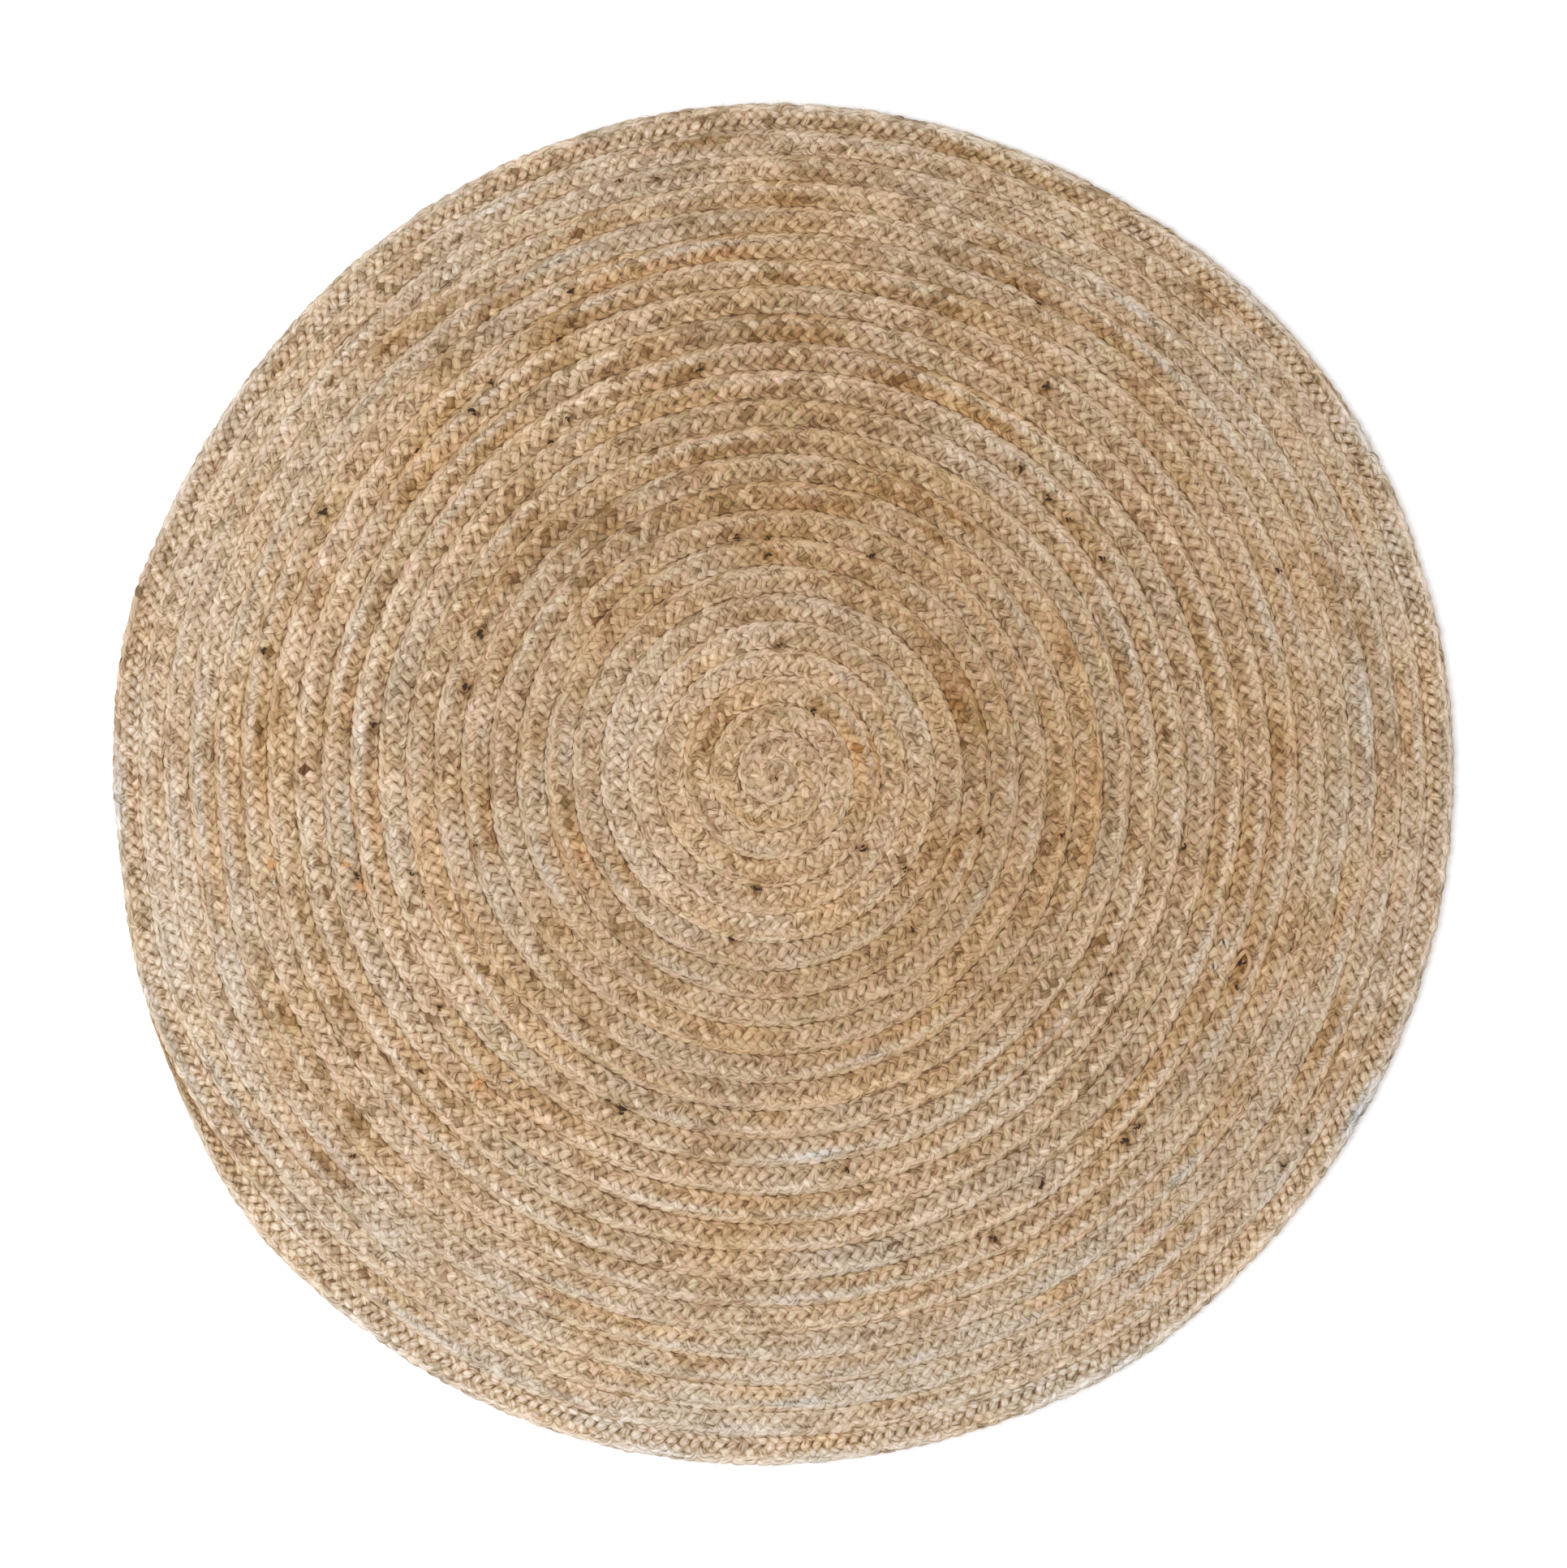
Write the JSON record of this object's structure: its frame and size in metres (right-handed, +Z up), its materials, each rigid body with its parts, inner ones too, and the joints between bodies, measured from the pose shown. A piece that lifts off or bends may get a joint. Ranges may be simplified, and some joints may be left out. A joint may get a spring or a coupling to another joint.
{
  "type": "round jute rug",
  "caption": "Round flat rug of one wide jute braid, wound clockwise into a spiral and sewn edge to edge, with a tapered tail at the rim.",
  "frame": {"origin": "under the middle of the rug's outline, on the floor", "axes": "+Z up out of the rug's face, +Y towards the top of the picture, +X to its right"},
  "size_m": [1.1892, 1.207, 0.008],
  "materials": {
    "jute_braid": "matt undyed jute fibre, golden and silvery strands"
  },
  "bodies": {
    "root": {"braided_rug": "jute_braid"}
  },
  "joints": []
}
